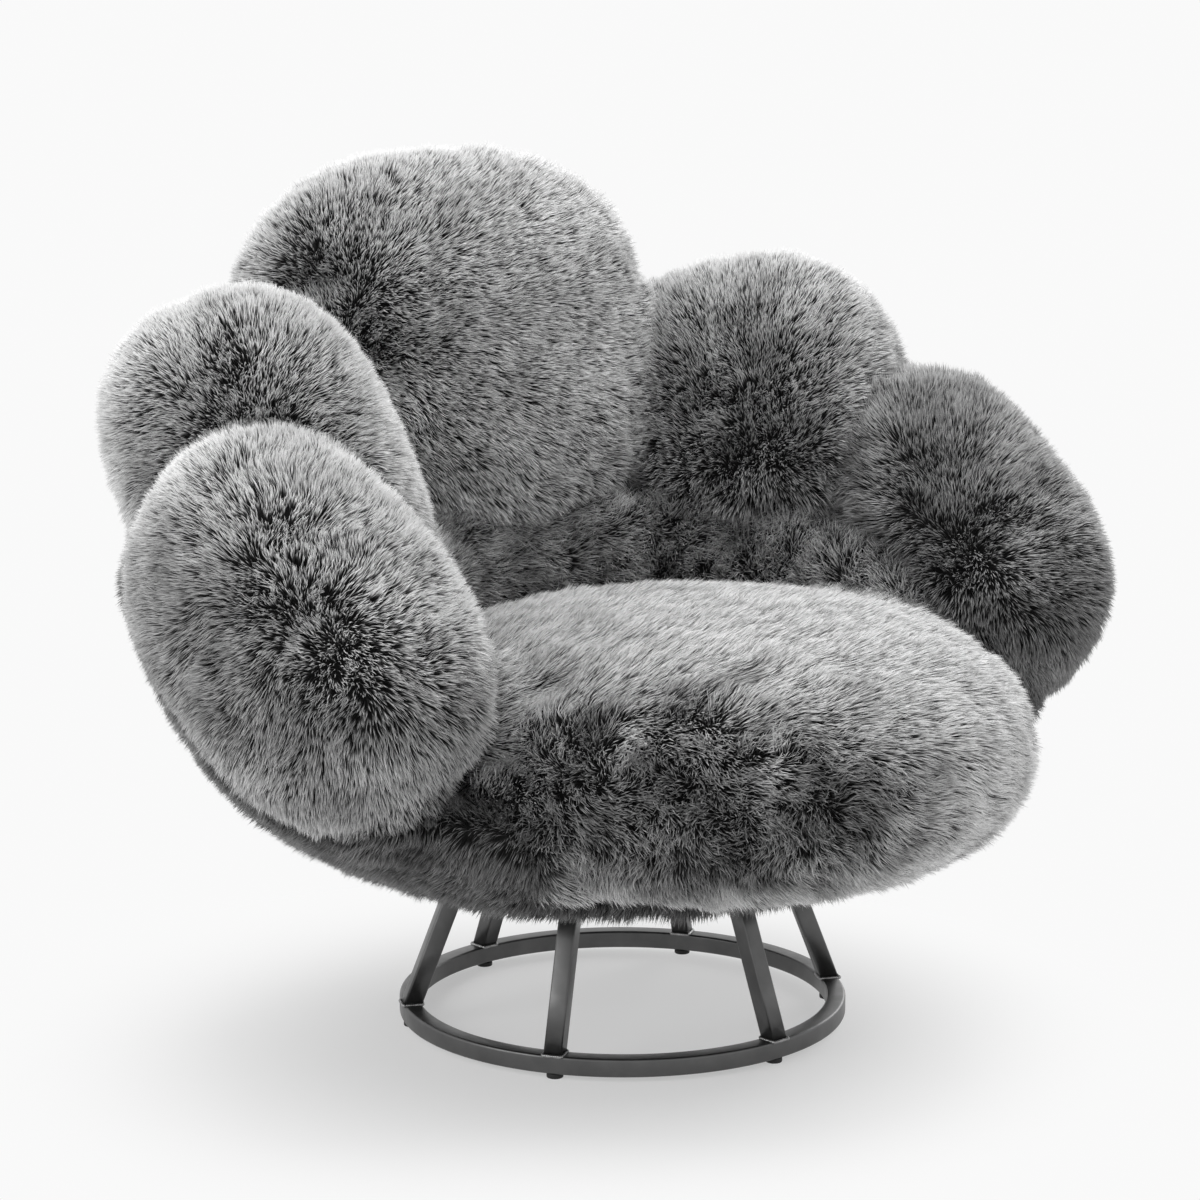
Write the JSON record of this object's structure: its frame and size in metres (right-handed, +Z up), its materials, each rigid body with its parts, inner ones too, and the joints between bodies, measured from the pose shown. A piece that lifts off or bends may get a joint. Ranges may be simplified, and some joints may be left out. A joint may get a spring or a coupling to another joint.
{
  "type": "swivel lounge chair",
  "caption": "Round lounge chair with bulging fur lobes round a plump seat cushion, turning on a caged steel ring base.",
  "frame": {"origin": "on the floor at the swivel axis, under the middle of the object's box", "axes": "+X to the sitter's left hand as seen from the front of the chair, that is to the right in a front view; -Y the front, where the seat opens; +Z up along the swivel axis"},
  "size_m": [1.1108, 0.9178, 0.8914],
  "materials": {
    "frame_steel": "satin gunmetal, welded and ground",
    "hardware_zinc": "bright zinc plated",
    "glide_plastic": "moulded, matte black",
    "plywood": "raw birch plywood",
    "lining": "black non-woven dust cover",
    "lobe_fur": "long-pile faux fur over fibre filling, dark roots and light grey tips",
    "collar_fur": "long-pile faux fur, darkest in the hollow round the seat",
    "shell_fur": "long-pile faux fur over foam, combed downwards",
    "seat_fur": "long-pile faux fur over foam, lightest on top where it lies flat"
  },
  "bodies": {
    "base": {"floor_ring": "frame_steel", "front_strut": "frame_steel", "front_right_strut": "frame_steel", "back_right_strut": "frame_steel", "back_strut": "frame_steel", "back_left_strut": "frame_steel", "front_left_strut": "frame_steel", "front_glide": "glide_plastic", "front_right_glide": "glide_plastic", "back_right_glide": "glide_plastic", "back_glide": "glide_plastic", "back_left_glide": "glide_plastic", "front_left_glide": "glide_plastic", "mounting_plate": "frame_steel", "lower_swivel_plate": "hardware_zinc", "centre_rivet": "hardware_zinc", "lower_bolt_1": "hardware_zinc", "lower_bolt_2": "hardware_zinc", "lower_bolt_3": "hardware_zinc", "lower_bolt_4": "hardware_zinc", "lower_nut_1": "hardware_zinc", "lower_nut_2": "hardware_zinc", "lower_nut_3": "hardware_zinc", "lower_nut_4": "hardware_zinc"},
    "race": {"ball_cage": "hardware_zinc", "bearing_ball_1": "hardware_zinc", "bearing_ball_2": "hardware_zinc", "bearing_ball_3": "hardware_zinc", "bearing_ball_4": "hardware_zinc", "bearing_ball_5": "hardware_zinc", "bearing_ball_6": "hardware_zinc", "bearing_ball_7": "hardware_zinc", "bearing_ball_8": "hardware_zinc"},
    "seat": {"upper_swivel_plate": "hardware_zinc", "upper_bolt_1": "hardware_zinc", "upper_bolt_2": "hardware_zinc", "upper_bolt_3": "hardware_zinc", "upper_bolt_4": "hardware_zinc", "tee_nut_1": "hardware_zinc", "tee_nut_2": "hardware_zinc", "tee_nut_3": "hardware_zinc", "tee_nut_4": "hardware_zinc", "seat_board": "plywood", "dust_cover": "lining", "back_panel": "plywood", "left_side_panel": "plywood", "right_side_panel": "plywood", "left_arm_panel": "plywood", "right_arm_panel": "plywood", "back_lobe": "lobe_fur", "left_side_lobe": "lobe_fur", "right_side_lobe": "lobe_fur", "left_arm_lobe": "lobe_fur", "right_arm_lobe": "lobe_fur", "collar": "collar_fur", "shell": "shell_fur", "seat_cushion": "seat_fur"}
  },
  "joints": [
    {"name": "seat_swivel", "type": "hinge", "parent": "base", "child": "seat", "pos_m": [0, 0, 0.1995], "axis": [0, 0, 1], "continuous": true},
    {"name": "race_spin", "type": "hinge", "parent": "base", "child": "race", "pos_m": [0, 0, 0.1995], "axis": [0, 0, 1], "continuous": true}
  ],
  "couplings": [
    {"joint": "race_spin", "follows": "seat_swivel", "ratio": 0.5}
  ]
}
